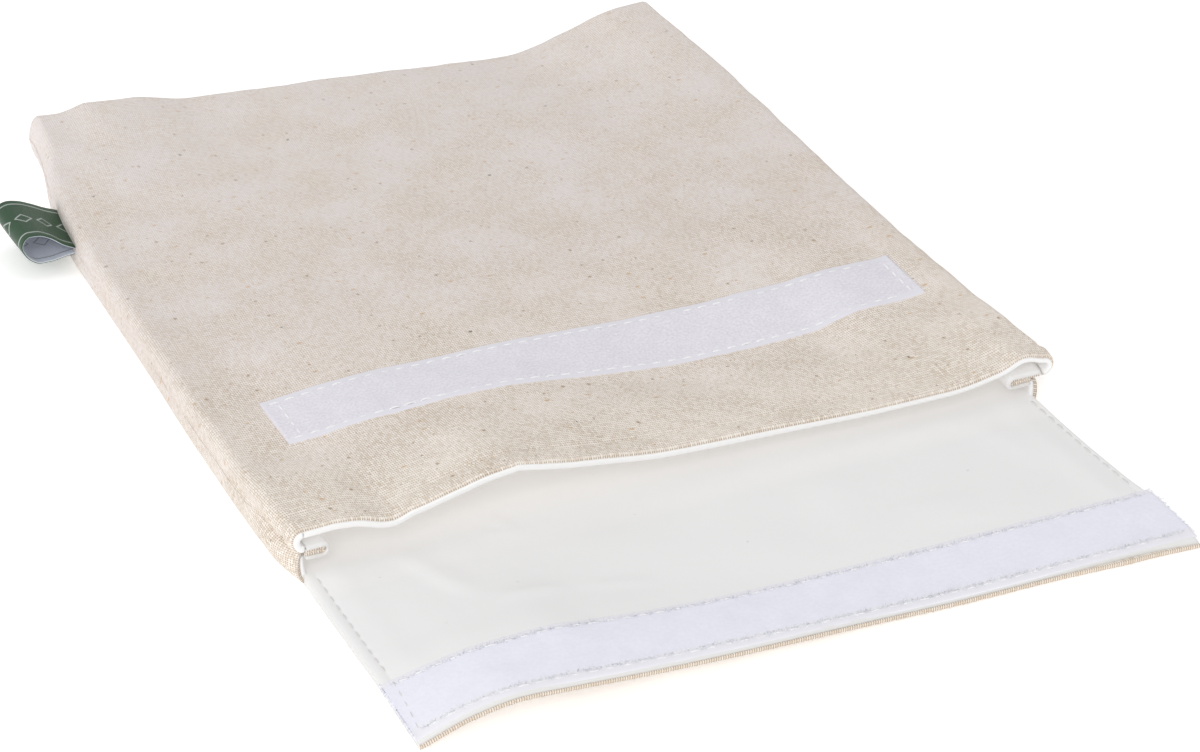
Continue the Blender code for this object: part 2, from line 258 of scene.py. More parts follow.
# A stitch's rings and sides, how deep its ends dip, and how far on its direction is taken
STITCH_RINGS, STITCH_SIDES, END_DIP, LOOK_AHEAD = 7, 6, 0.35, 0.3

# Light of the room, and how much the floor glows so that it stays white
ROOM_LIGHT, FLOOR_GLOW = 0.68, 0.3


def smooth(knots, values, at):
    """Values at places on the soft curve through the knots, which never swings past them."""
    knots, values = np.asarray(knots, float), np.asarray(values, float)
    rate = np.diff(values) / np.diff(knots)
    before, after = rate[:-1], rate[1:]
    turning = before * after <= 0
    middle = np.where(turning, 0, 2 * before * after / np.where(turning, 1, before + after))
    slope = np.concatenate([rate[:1], middle, rate[-1:]])
    at = np.clip(at, knots[0], knots[-1])
    i = np.clip(np.searchsorted(knots, at, "right") - 1, 0, len(knots) - 2)
    width = np.diff(knots)[i]
    t = (at - knots[i]) / width
    start, end, rise = slope[i] * width, slope[i + 1] * width, values[i + 1] - values[i]
    curve = (3 * rise - 2 * start - end) * t**2 + (start + end - 2 * rise) * t**3
    return values[i] + start * t + curve


def from_table(table, column, y):
    return smooth([row.y for row in table], [getattr(row, column) for row in table], y)


def height_on(places, rows, x, y):
    """Heights of a panel at places along one row, from the table of heights at each y."""
    along = [row[0] for row in rows]
    across = [float(smooth(along, [row[1][k] for row in rows], y)) for k in range(len(places))]
    return smooth(places, across, x)


def front_height(x, y):
    fold = np.interp(x, MOUTH_PLACES, MOUTH_LIFTS) * np.exp(-np.maximum(y, 0.0) / MOUTH_FADE)
    ear = np.interp(x, EAR_PLACES, EAR_LIFTS) * np.exp(-np.maximum(BODY_LENGTH - y, 0.0) / EAR_FADE)
    return height_on(FRONT_PLACES, FRONT_HEIGHTS, x, y) + fold + ear


def flap_height(x, y):
    return height_on(FLAP_PLACES, FLAP_HEIGHTS, x, y)


def flap_sides(y):
    return from_table(FLAP_SIDES, "left", y), from_table(FLAP_SIDES, "right", y)


def flap_edge(x):
    return smooth([p.x for p in FLAP_EDGE], [p.y for p in FLAP_EDGE], x)


def loop_left(y):
    return float(from_table(FLAP_SIDES, "left", y)) + LOOP_SIDE


def loop_right(y):
    return float(from_table(FLAP_SIDES, "right", y)) - LOOP_SIDE


def flap_insets(x, y, short=0.0):
    """How far points lie in from the flap's sides, where its near edge is, and the way in from either."""
    left, right = flap_sides(y)
    edge = flap_edge(x) + short
    sides = np.where(y < 0, np.minimum(x - left, right - x), NO_EDGE)
    return sides, edge, np.minimum(sides, np.where(y < NEAR_PART, y - edge, NO_EDGE))


def flap_cells(face, rows):
    """The cells that a body and its flap have: the flap's rows have no turned sides."""
    there = np.ones((face.shape[0] - 1, face.shape[1] - 1), bool)
    there[:rows, :TURN_STEPS] = False
    there[:rows, -TURN_STEPS:] = False
    return there


def from_ends(u):
    """How far each point lies in from the nearer end of its row."""
    return np.minimum(u - u.min(1, keepdims=True), u.max(1, keepdims=True) - u)


def unit(ways):
    """Directions, each made one long."""
    return ways / np.linalg.norm(ways, axis=1, keepdims=True)


def fade(value):
    """From 0 to 1 as the value goes from 0 to 1, soft at both ends."""
    t = np.clip(value, 0.0, 1.0)
    return t * t * (3 - 2 * t)


def closing(y):
    """How far the side folds have closed into the bottom corners, from 0 to 1."""
    return fade((y - CLOSING_FROM) / (INSIDE_END - CLOSING_FROM))


def steps(start, stop, step, edges=True):
    """Places from start to stop about a step apart, and closer ones where a cloth's edges are rounded."""
    places = np.linspace(start, stop, max(2, round((stop - start) / step)) + 1)
    if edges:
        clear = EDGE_ROWS[-1] + 0.3 * step
        middle = places[(places > start + clear) & (places < stop - clear)]
        near, far = [start + e for e in EDGE_ROWS], [stop - e for e in EDGE_ROWS]
        places = np.sort(np.concatenate([[start, stop], near, far, middle]))
    return places


def side_turn(side, upper, y):
    """The points where a panel turns round a side edge, from its face to the side seam."""
    reach = from_table(SIDES[side], "upper" if upper else "lower", y)
    depth = UPPER_TURN if upper else LOWER_TURN[side] * (1 - LOWER_SQUEEZE * math.exp(-y / SQUEEZE_FADE))
    reach += 0 if upper else depth - LOWER_TURN[side]
    apart = SEAM_HALF * (1.5 * math.exp(-y / SQUEEZE_FADE) - 0.5)
    seam = from_table(SIDES[side], "seam", y) + (apart if upper else -apart)
    face = front_height(side * (reach - depth), y) if upper else 0.0
    turn = math.radians(180 - 90 * float(closing(y)))
    angle = turn * np.arange(TURN_STEPS + 1) / TURN_STEPS
    filled = GROOVE_FILL * float(fade((y - GROOVE_FROM) / GROOVE_FADE))
    bend = np.sin(angle)
    bend = np.where(angle > math.pi / 2, np.maximum(bend, filled), bend)
    out = reach - depth * (1 - bend)
    other = from_table(SIDES[side], "lower" if upper else "upper", y)
    out = out + (other - reach) / 2 * filled * fade((angle - math.pi / 2) / (math.pi / 2))
    height = face + (seam - face) / (1 - math.cos(turn)) * (1 - np.cos(angle))
    return np.column_stack([side * out, np.full_like(out, y), height])


def panel_row(upper, y, across):
    """One row of a panel: from its left seam round the edge, over the face and round to its right seam."""
    left = side_turn(-1, upper, y)
    right = side_turn(1, upper, y)
    x = left[0, 0] + (right[0, 0] - left[0, 0]) * across[1:-1]
    z = front_height(x, y) if upper else np.zeros_like(x)
    return np.vstack([left[::-1], np.column_stack([x, np.full_like(x, y), z]), right])


def rolled_rows(upper, last):
    """Rows that take a panel from its last one half way round the bag's end, to the bottom seam."""
    half = SEAM_HALF if upper else -SEAM_HALF
    seam = front_height(last[:, 0], BODY_LENGTH) / 2 + half
    seam[:TURN_STEPS] = last[0, 2]
    seam[-TURN_STEPS:] = last[-1, 2]
    rows = []
    for k in range(1, ROLL_STEPS + 1):
        angle = math.pi / 2 * k / ROLL_STEPS
        row = last.copy()
        row[:, 1] = BODY_LENGTH - SEAM_ROLL * (1 - math.sin(angle))
        square = 0.5 - EAR_SQUARE * np.exp(-(((last[:, 0] - EAR_PLACES[0]) / 9.0) ** 2))
        row[:, 2] = seam + (last[:, 2] - seam) * max(math.cos(angle), 0) ** square
        rows.append(row)
    return rows


def panel_rows(upper, stations, across):
    rows = [panel_row(upper, y, across) for y in stations]
    return rows + rolled_rows(upper, rows[-1])


def flap_row(y, across):
    """One row of the flap. Its nearest rows follow the flap's edge."""
    left, right = flap_sides(y)
    x = left + (right - left) * across
    edge = flap_edge(x) - FLAP_END
    place = y + edge * np.clip((LOOP_NEAR - y) / (LOOP_NEAR - FLAP_END), 0, 1)
    return np.column_stack([x, place, flap_height(x, y)])


def trimmed(row):
    """A lining's row, which stops shorter at its seams where the side folds close, to clear the gussets."""
    cut = LINING_BELOW * float(closing(row[0, 1]))
    row = row.copy()
    for last, before in ((0, 1), (-1, -2)):
        step = row[before] - row[last]
        row[last] = row[last] + step / np.linalg.norm(step) * min(cut, np.linalg.norm(step) * 0.8)
    return row


def creased(creases, x, y):
    """How far creases lift the cloth at places on it."""
    lift = np.zeros_like(x)
    for c in creases:
        length = math.hypot(c.x1 - c.x0, c.y1 - c.y0)
        dx, dy = (c.x1 - c.x0) / length, (c.y1 - c.y0) / length
        along = (x - c.x0) * dx + (y - c.y0) * dy
        off = (x - c.x0) * dy - (y - c.y0) * dx
        width = np.where(off < 0, c.left, c.right)
        ends = fade(along / (0.35 * length)) * fade((length - along) / (0.35 * length))
        lift += c.height * ends * np.exp(-((off / width) ** 2))
    return lift


def undulation(u, v, size, seed):
    """Small uneven waves of a size, from a few crossing ripples."""
    total = np.zeros_like(u)
    count = 9
    for k in range(count):
        turn = 2.39996 * (k + seed)
        length = size * (0.65 + 0.7 * math.fmod(0.618 * (k + seed), 1.0))
        total += np.sin((u * math.cos(turn) + v * math.sin(turn)) * 2 * math.pi / length + 1.7 * k)
    return total / math.sqrt(count)


def lengths(face):
    """Cloth coordinates of a grid of points: the way along each row from its middle, and along the rows."""
    across = np.linalg.norm(np.diff(face, axis=1), axis=2)
    u = np.concatenate([np.zeros((len(face), 1)), np.cumsum(across, axis=1)], axis=1)
    middle = face.shape[1] // 2
    along = np.linalg.norm(np.diff(face[:, middle], axis=0), axis=1)
    v = np.concatenate([[0.0], np.cumsum(along)]) + face[0, middle, 1]
    return u - u[:, middle : middle + 1], np.repeat(v[:, None], face.shape[1], axis=1)


def normals(face):
    """Unit normals of a grid of points, upwards where its rows run to the right and on to the back."""
    n = np.cross(np.gradient(face, axis=1), np.gradient(face, axis=0))
    return n / np.maximum(np.linalg.norm(n, axis=2, keepdims=True), 1e-9)


def rounding(inset, radius):
    """Share of a cloth's half thickness that is left at a distance in from its edge."""
    t = 1 - np.clip(inset / radius, 0, 1)
    return np.maximum(np.sqrt(1 - t * t), 0.12)


def new_mesh(name, points, faces, places):
    """A smooth mesh of points in millimetres, with the cloth coordinates that its finish reads."""
    mesh = bpy.data.meshes.new(name)
    mesh.from_pydata(((points - CENTRE) * MM).tolist(), [], faces)
    attribute = mesh.attributes.new("cloth", "FLOAT_VECTOR", "POINT")
    attribute.data.foreach_set("vector", places.astype("f4").ravel())
    mesh.shade_smooth()
    return mesh


def closed_mesh(name, front, back, uv, edge, there, turned):
    """A closed sheet between two grids of points. there marks the cells that the sheet has."""
    size = front.shape[0] * front.shape[1]
    number = np.arange(size).reshape(front.shape[:2])
    cells = [number[:-1, :-1], number[:-1, 1:], number[1:, 1:], number[1:, :-1]]
    cells = np.stack(cells, axis=-1)[there].reshape(-1, 4)
    edges = np.concatenate([cells[:, [k, (k + 1) % 4]] for k in range(4)])
    code = edges[:, 0] * size + edges[:, 1]
    outline = edges[~np.isin(code, edges[:, 1] * size + edges[:, 0])]
    sides = np.column_stack([outline[:, 1], outline[:, 0], outline[:, 0] + size, outline[:, 1] + size])
    faces = np.concatenate([cells, cells[:, ::-1] + size, sides])
    if turned:
        faces = faces[:, ::-1]
    used, faces = np.unique(faces, return_inverse=True)
    points = np.concatenate([front.reshape(-1, 3), back.reshape(-1, 3)])[used]
    places = np.concatenate([np.dstack([*uv, np.full(uv[0].shape, s)]).reshape(-1, 3) for s in (0.0, 1.0)])
    mesh = new_mesh(name, points, faces.reshape(-1, 4).tolist(), places[used])
    worn_and_shaded = mesh.attributes.new("edge", "FLOAT", "POINT")
    worn_and_shaded.data.foreach_set("value", np.tile(edge.ravel(), 2)[used].astype("f4"))
    return mesh


def put(name, mesh, material, replaced=None):
    """An object of the bag, with its material, which stands for a node of the frame if one is named."""
    thing = bpy.data.objects.new(name, mesh)
    bpy.context.scene.collection.objects.link(thing)
    mesh.materials.append(material)
    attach(thing, "root")
    if replaced:
        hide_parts(replaced)
    return thing


def cloth(
    name, face, upward, near, far, inset, material, there=None, radius=0.5, seated=0.5, worn_and_shaded=0.0,
    sewn=0.0
):
    """A sheet between two depths behind the outer face of a panel; upward if that face looks up.

    Its edges are rounded towards a depth between the two, which seated gives as a share of the way. A given
    share says how much its finish changes along its edges, to frayed thread colour with painted shade on the
    cut faces; sewn is the share of bare thread elsewhere on it.
    """
    n = normals(face) * (-1 if upward else 1)
    share = rounding(inset, radius)
    middle = near + (far - near) * seated
    outer = face + n * (middle + (near - middle) * share)[..., None]
    inner = face + n * (middle + (far - middle) * share)[..., None]
    if there is None:
        there = np.ones((face.shape[0] - 1, face.shape[1] - 1), bool)
    edge = worn_and_shaded * np.clip(1 - inset / EDGE_WEAR_AND_SHADE, 0, 1) + sewn
    mesh = closed_mesh(name, outer, inner, lengths(face), edge, there, not upward)
    thing = put(name + "_cloth", mesh, material, name)
    return thing


def node(tree, kind, ins=None, **settings):
    """A shader node with its settings; each input is given as a value or as another node's output."""
    made = tree.nodes.new("ShaderNode" + kind)
    for name, value in settings.items():
        setattr(made, name, value)
    for place, value in (ins or {}).items():
        if isinstance(value, bpy.types.NodeSocket):
            tree.links.new(value, made.inputs[place])
        else:
            made.inputs[place].default_value = value
    return made


def maths(tree, operation, a, b=0.0, c=0.0):
    return node(tree, "Math", {0: a, 1: b, 2: c}, operation=operation).outputs[0]


def blend(tree, share, a, b, kind="MIX"):
    """Colour b over colour a by a share."""
    mixed = node(tree, "Mix", {0: share, 6: a, 7: b}, data_type="RGBA", blend_type=kind)
    return mixed.outputs[2]


def remap(tree, value, least, most, start, end):
    """A value that runs from start to end as another goes from least to most."""
    return node(tree, "MapRange", {0: value, 1: least, 2: most, 3: start, 4: end}).outputs[0]


def new_group(name, ins, outs):
    """A node group with named sockets; ins maps each input to its default, outs are the outputs."""
    tree = bpy.data.node_groups.new(name, "ShaderNodeTree")
    for title, default in ins.items():
        kind = "NodeSocketVector" if default is None else "NodeSocketFloat"
        socket = tree.interface.new_socket(title, in_out="INPUT", socket_type=kind)
        if default is not None:
            socket.default_value = default
    for title in outs:
        tree.interface.new_socket(title, in_out="OUTPUT", socket_type="NodeSocketFloat")
    return tree, tree.nodes.new("NodeGroupInput").outputs, tree.nodes.new("NodeGroupOutput").inputs


def place_group(tree, name, **values):
    """A group's node in a material, with its own values."""
    made = tree.nodes.new("ShaderNodeGroup")
    made.node_tree = bpy.data.node_groups[name]
    for title, value in values.items():
        socket = made.inputs[title.replace("_", " ")]
        if isinstance(value, bpy.types.NodeSocket):
            tree.links.new(value, socket)
        else:
            socket.default_value = value
    return made.outputs


def weave_group():
    """Plain weave: threads of two directions that pass over and under each other, with a little wander."""
    ins = {"Vector": None, "Warp": 0.67, "Weft": 1.04, "Wander": 0.3}
    tree, given, out = new_group("plain weave", ins, ("Height", "Shade", "Thread", "Grain", "Rib"))
    noise = node(tree, "TexNoise", {"Vector": given["Vector"], "Scale": 0.09, "Detail": 2.0})
    moved = node(tree, "VectorMath", {0: noise.outputs["Color"], 1: (0.5, 0.5, 0.5)}, operation="SUBTRACT")
    moved = node(tree, "VectorMath", {0: moved.outputs[0], "Scale": given["Wander"]}, operation="SCALE")
    moved = node(tree, "VectorMath", {0: moved.outputs[0], 1: given["Vector"]}, operation="ADD")
    at = node(tree, "SeparateXYZ", {0: moved.outputs[0]}).outputs
    warp_at = maths(tree, "DIVIDE", at[0], given["Warp"])
    weft_at = maths(tree, "DIVIDE", at[1], given["Weft"])
    warp_wave = maths(tree, "SINE", maths(tree, "MULTIPLY", warp_at, math.pi))
    weft_wave = maths(tree, "SINE", maths(tree, "MULTIPLY", weft_at, math.pi))
    crossing = maths(tree, "MULTIPLY", warp_wave, weft_wave)
    warp = maths(tree, "ADD", maths(tree, "ABSOLUTE", warp_wave), crossing)
    weft = maths(tree, "SUBTRACT", maths(tree, "ABSOLUTE", weft_wave), crossing)
    top = maths(tree, "MULTIPLY", maths(tree, "MAXIMUM", warp, weft), 0.5)
    over = maths(tree, "GREATER_THAN", warp, weft)
    tones = []
    for thread, along in ((warp_at, at[1]), (weft_at, at[0])):
        number = maths(tree, "MULTIPLY", maths(tree, "FLOOR", thread), 7.31)
        place = node(tree, "CombineXYZ", {0: number, 1: maths(tree, "MULTIPLY", along, 0.55)})
        tone = node(tree, "TexNoise", {"Vector": place.outputs[0], "Scale": 1.0, "Detail": 1.0})
        tones.append(tone.outputs[0])
    picked = node(tree, "Mix", {0: over, 2: tones[1], 3: tones[0]}, data_type="FLOAT")
    rounds = [maths(tree, "FLOOR", at) for at in (warp_at, weft_at)]
    crossing = node(tree, "CombineXYZ", {0: rounds[0], 1: rounds[1]})
    grain = node(tree, "TexWhiteNoise", {"Vector": crossing.outputs[0]}, noise_dimensions="2D")
    tree.links.new(grain.outputs["Value"], out["Grain"])
    tree.links.new(maths(tree, "ABSOLUTE", warp_wave), out["Rib"])
    tree.links.new(top, out["Height"])
    # Shade is low in the gaps between threads; the finishes use it to paint shade there
    tree.links.new(maths(tree, "POWER", top, 0.5), out["Shade"])
    tree.links.new(picked.outputs[0], out["Thread"])


def fleck_group():
    """Scattered flecks, longer one way than the other, in a share of the cells that hold them."""
    ins = {"Vector": None, "Spacing": 10.0, "Size": 0.1, "Share": 0.5, "Stretch": 1.0}
    tree, given, out = new_group("flecks", ins, ("Mask", "Tone"))
    ragged = node(tree, "TexNoise", {"Vector": given["Vector"], "Scale": 2.0, "Detail": 2.0})
    shift = node(tree, "VectorMath", {0: ragged.outputs["Color"], "Scale": 1.1}, operation="SCALE")
    moved = node(tree, "VectorMath", {0: shift.outputs[0], 1: given["Vector"]}, operation="ADD")
    at = node(tree, "SeparateXYZ", {0: moved.outputs[0]}).outputs
    long = maths(tree, "DIVIDE", at[1], given["Stretch"])
    place = node(tree, "CombineXYZ", {0: at[0], 1: long})
    scale = maths(tree, "DIVIDE", 1.0, given["Spacing"])
    cells = node(tree, "TexVoronoi", {"Vector": place.outputs[0], "Scale": scale}, voronoi_dimensions="2D")
    pick = node(tree, "SeparateXYZ", {0: cells.outputs["Color"]}).outputs
    there = maths(tree, "LESS_THAN", pick[0], given["Share"])
    reach = maths(tree, "MULTIPLY", given["Size"], maths(tree, "ADD", pick[1], 0.35))
    inside = maths(tree, "DIVIDE", cells.outputs["Distance"], reach)
    soft = remap(tree, inside, 1.0, 0.55, 0.0, 1.0)
    tree.links.new(maths(tree, "MULTIPLY", soft, there), out["Mask"])
    tree.links.new(pick[2], out["Tone"])


def mottle_group():
    """Soft uneven patches, from 0 to 1."""
    ins = {"Vector": None, "Patch": 12.0, "Contrast": 2.0}
    tree, given, out = new_group("mottle", ins, ("Value",))
    scale = maths(tree, "DIVIDE", 1.0, given["Patch"])
    noise = node(tree, "TexNoise", {"Vector": given["Vector"], "Scale": scale, "Detail": 3.0})
    around = maths(tree, "SUBTRACT", noise.outputs[0], 0.5)
    value = maths(tree, "MULTIPLY_ADD", around, given["Contrast"], 0.5)
    clamped = node(tree, "Clamp", {0: value})
    tree.links.new(clamped.outputs[0], out["Value"])


def new_material(name, roughness, **constants):
    """A material whose shader holds its constant values, and the cloth coordinates that it reads."""
    material = bpy.data.materials.new(name)
    material.use_nodes = True
    tree = material.node_tree
    shader = tree.nodes["Principled BSDF"]
    shader.inputs["Roughness"].default_value = roughness
    for title, value in constants.items():
        shader.inputs[title.replace("_", " ")].default_value = value
    places = node(tree, "Attribute", attribute_name="cloth").outputs["Vector"]
    return material, tree, shader, places


def tinted(tree, colour, value):
    """A colour made lighter or darker by a value."""
    grey = node(tree, "CombineColor", {k: value for k in range(3)})
    return blend(tree, 1.0, colour, grey.outputs[0], "MULTIPLY")


def finish_off(tree, shader, colour, height, depth):
    """Joins a colour and a height in millimetres to the shader."""
    tree.links.new(colour, shader.inputs["Base Color"])
    bump = node(tree, "Bump", {"Height": height, "Distance": depth * MM, "Strength": 1.0})
    tree.links.new(bump.outputs[0], shader.inputs["Normal"])


def hemp_canvas():
    """Unbleached hemp: pale and straw threads, brown bits of stalk, and bare thread ends and painted shade at
    cut edges.
    """
    material, tree, shader, places = new_material("hemp canvas", 0.93, Sheen_Weight=0.08)
    weave = place_group(tree, "plain weave", Vector=places)
    patches = place_group(tree, "mottle", Vector=places, Patch=8.0, Contrast=2.0)
    colour = blend(tree, patches["Value"], (0.885, 0.815, 0.765, 1), (0.905, 0.825, 0.705, 1))
    straw = (0.60, 0.48, 0.36, 1)
    along = node(tree, "SeparateXYZ", {0: places}).outputs[1]
    crisp = remap(tree, along, 0.0, BODY_LENGTH, 1.5, 0.65)
    broad = place_group(tree, "mottle", Vector=places, Patch=24.0, Contrast=2.5)
    crisp = maths(tree, "MULTIPLY", crisp, maths(tree, "MULTIPLY_ADD", broad["Value"], 0.8, 0.5))
    colour = blend(tree, maths(tree, "MULTIPLY", broad["Value"], 0.5), (0.845, 0.785, 0.775, 1), colour)
    # Painted light: the canvas is coloured paler towards the mouth, standing in for the brighter light there
    pale = remap(tree, along, 0.0, 120.0, 0.9, 0.0)
    colour = blend(tree, pale, colour, (0.985, 0.92, 0.84, 1))
    for value, least, most, share in ((weave["Thread"], 0.38, 0.68, 0.22), (weave["Grain"], 0.4, 1.0, 0.34)):
        part = remap(tree, value, least, most, 0.0, share)
        colour = blend(tree, maths(tree, "MULTIPLY", part, crisp), colour, straw)
    # Painted shade: the gaps between threads are coloured dark brown, more strongly where the grain is crisp
    gap_shade = remap(tree, weave["Shade"], 0.3, 0.72, 0.95, 0.0)
    colour = blend(tree, maths(tree, "MULTIPLY", gap_shade, crisp), colour, (0.46, 0.37, 0.29, 1))
    flecks = (
        (3.6, 0.075, 0.60, 1.3, 0.70, (0.44, 0.32, 0.22, 1)),
        (6.0, 0.085, 0.50, 0.4, 0.60, (0.54, 0.38, 0.24, 1)),
        (8.5, 0.066, 0.36, 1.1, 0.8, (0.36, 0.23, 0.13, 1)),
        (13.0, 0.062, 0.45, 0.6, 0.80, (0.60, 0.37, 0.17, 1)),
        (38.0, 0.014, 0.50, 1.2, 0.95, (0.09, 0.06, 0.05, 1)),
    )
    for spacing, size, share, stretch, strength, tint in flecks:
        spots = place_group(
            tree, "flecks", Vector=places, Spacing=spacing, Size=size, Share=share, Stretch=stretch
        )
        seen = remap(tree, along, 0.0, BODY_LENGTH, strength, 0.45 * strength)
        colour = blend(tree, maths(tree, "MULTIPLY", spots["Mask"], seen), colour, tint)
    # Along cut edges: bare thread ends in ribs; their brown is partly the threads' own colour, partly painted
    # shade on the cut faces
    ends = blend(tree, weave["Rib"], (0.36, 0.26, 0.18, 1), (0.92, 0.85, 0.76, 1))
    ends = blend(tree, maths(tree, "MULTIPLY", weave["Grain"], 0.4), ends, (0.58, 0.44, 0.30, 1))
    edge = node(tree, "Attribute", attribute_name="edge").outputs["Fac"]
    colour = blend(tree, edge, colour, ends)
    finish_off(tree, shader, colour, weave["Height"], 0.16)
    return material


def white_film():
    """Soft white film, faintly crinkled, that glows a little inside the bag: painted light that lightens the
    shade there.
    """
    material, tree, shader, places = new_material("white film", 0.42, Emission_Strength=PAINTED_GLOW)
    patches = place_group(tree, "mottle", Vector=places, Patch=40.0, Contrast=1.5)
    colour = blend(tree, patches["Value"], (0.855, 0.853, 0.852, 1), (0.868, 0.866, 0.862, 1))
    specks = place_group(
        tree, "flecks", Vector=places, Spacing=34.0, Size=0.012, Share=0.5, Stretch=0.8
    )
    colour = blend(tree, maths(tree, "MULTIPLY", specks["Mask"], 0.4), colour, (0.5, 0.48, 0.45, 1))
    # Greyer cut edges: partly the film's own grey edge, partly painted shade on the cut faces
    edge = node(tree, "Attribute", attribute_name="edge").outputs["Fac"]
    colour = blend(tree, edge, colour, (0.72, 0.715, 0.70, 1))
    # Painted light: the film glows warm from near the mouth inwards, to lighten the shade inside the bag
    along = node(tree, "SeparateXYZ", {0: places}).outputs[1]
    inside = remap(tree, along, PAINTED_GLOW_FROM, PAINTED_GLOW_TO, 0.0, 1.0)
    painted_glow = blend(tree, inside, (0, 0, 0, 1), (1.0, 0.94, 0.88, 1))
    tree.links.new(painted_glow, shader.inputs["Emission Color"])
    crinkle = place_group(tree, "mottle", Vector=places, Patch=5.0, Contrast=1.0)
    finish_off(tree, shader, colour, crinkle["Value"], 0.08)
    return material


def tape_edge(tree, places, middle, half):
    """Mask of a tape's two selvedges, from the way across it."""
    across = node(tree, "SeparateXYZ", {0: places}).outputs[1]
    off = maths(tree, "ABSOLUTE", maths(tree, "SUBTRACT", across, middle))
    return maths(tree, "GREATER_THAN", off, half - SELVEDGE)


def tape_finish(name, near, body, selvedge, patch, speckle, depth, sheen):
    """A white tape: a rough middle of hooks or loops between two flat woven selvedges."""
    material, tree, shader, places = new_material(name, 0.9, Sheen_Weight=sheen)
    edge = tape_edge(tree, places, near + TAPE_WIDTH / 2, TAPE_WIDTH / 2)
    pile = place_group(tree, "mottle", Vector=places, Patch=patch, Contrast=3.0)
    broad = place_group(tree, "mottle", Vector=places, Patch=patch * 7, Contrast=2.0)
    value = maths(tree, "MULTIPLY_ADD", pile["Value"], speckle, 1 - speckle / 2)
    value = maths(tree, "MULTIPLY", value, maths(tree, "MULTIPLY_ADD", broad["Value"], 0.05, 0.975))
    middle = tinted(tree, (*body, 1), value)
    weave = place_group(tree, "plain weave", Vector=places, Warp=0.4, Weft=0.45, Wander=0.1)
    # Painted shade: the selvedges are darker in the gaps between their threads and a touch lighter on the
    # threads
    border = remap(tree, weave["Shade"], 0.0, 1.0, 0.88, 1.03)
    border = tinted(tree, (*selvedge, 1), border)
    colour = blend(tree, edge, middle, border)
    flat = maths(tree, "MULTIPLY", weave["Height"], 0.25)
    height = node(tree, "Mix", {0: edge, 2: pile["Value"], 3: flat}, data_type="FLOAT")
    finish_off(tree, shader, colour, height.outputs[0], depth)
    return material


def ribbon_finish(name, ground, line, roughness):
    """Woven satin ribbon: fine slanting twill, pale border lines and a row of small lozenges."""
    material, tree, shader, places = new_material(name, roughness)
    at = node(tree, "SeparateXYZ", {0: places}).outputs
    slant = maths(tree, "MULTIPLY", maths(tree, "ADD", at[0], maths(tree, "MULTIPLY", at[1], 0.6)), 14.0)
    twill = maths(tree, "MULTIPLY_ADD", maths(tree, "SINE", slant), 0.5, 0.5)
    colour = tinted(tree, (*ground, 1), maths(tree, "MULTIPLY_ADD", twill, 0.35, 0.75))
    middle = (LABEL_NEAR + LABEL_FAR) / 2
    off = maths(tree, "ABSOLUTE", maths(tree, "SUBTRACT", at[1], middle))
    border = maths(tree, "COMPARE", off, 10.2, 0.3)
    repeat = maths(tree, "ABSOLUTE", maths(tree, "WRAP", at[0], 3.5, -3.5))
    lozenge = maths(tree, "COMPARE", maths(tree, "ADD", repeat, off), 2.6, 0.35)
    pattern = maths(tree, "MAXIMUM", border, lozenge)
    colour = blend(tree, maths(tree, "MULTIPLY", pattern, 0.8), colour, (*line, 1))
    finish_off(tree, shader, colour, twill, 0.06)
    return material


def thread_finish(name, colour):
    material, tree, shader, places = new_material(name, 0.6)
    twist = place_group(tree, "mottle", Vector=places, Patch=0.8, Contrast=2.0)
    tone = maths(tree, "MULTIPLY_ADD", twist["Value"], 0.2, 0.85)
    finish_off(tree, shader, tinted(tree, (*colour, 1), tone), twist["Value"], 0.05)
    return material


def make_camera():
    heading, dip, roll = map(math.radians, (HEADING, DIP, CAMERA_ROLL))
    ahead = Vector((math.sin(heading) * math.cos(dip), math.cos(heading) * math.cos(dip), -math.sin(dip)))
    right = Vector((math.cos(heading), -math.sin(heading), 0))
    up = right.cross(ahead)
    turned_right = math.cos(roll) * right + math.sin(roll) * up
    turned_up = -math.sin(roll) * right + math.cos(roll) * up
    lens = bpy.data.cameras.new("camera")
    lens.lens, lens.sensor_width = LENS, SENSOR
    lens.clip_start, lens.clip_end = 0.05, 20.0
    camera = bpy.data.objects.new("camera", lens)
    bpy.context.scene.collection.objects.link(camera)
    place = (Vector(CAMERA_PLACE) - Vector(CENTRE)) * MM
    columns = (turned_right, turned_up, -ahead, place)
    rows = [[column[k] for column in columns] for k in range(3)]
    camera.matrix_world = Matrix([*rows, (0, 0, 0, 1)])
    bpy.context.scene.camera = camera


def make_lights():
    scene = bpy.context.scene
    scene.view_settings.view_transform = "Standard"
    world = bpy.data.worlds.new("studio")
    world.use_nodes = True
    world.node_tree.nodes["Background"].inputs["Color"].default_value = (1.0, 1.0, 1.0, 1)
    world.node_tree.nodes["Background"].inputs["Strength"].default_value = ROOM_LIGHT
    scene.world = world
    Lamp = namedtuple("Lamp", "name place size power")
    lamps = (
        Lamp("front softbox", (-0.85, -1.55, 1.15), 1.0, 12.0),
        Lamp("left softbox", (-1.5, 0.3, 0.9), 1.2, 4.8),
        Lamp("overhead softbox", (-0.3, 0.4, 1.5), 1.2, 1.2),
    )
    for lamp in lamps:
        light = bpy.data.lights.new(lamp.name, "AREA")
        light.size = lamp.size
        light.energy = lamp.power
        thing = bpy.data.objects.new(lamp.name, light)
        scene.collection.objects.link(thing)
        thing.location = lamp.place
        thing.rotation_euler = (-Vector(lamp.place)).to_track_quat("-Z", "Y").to_euler()


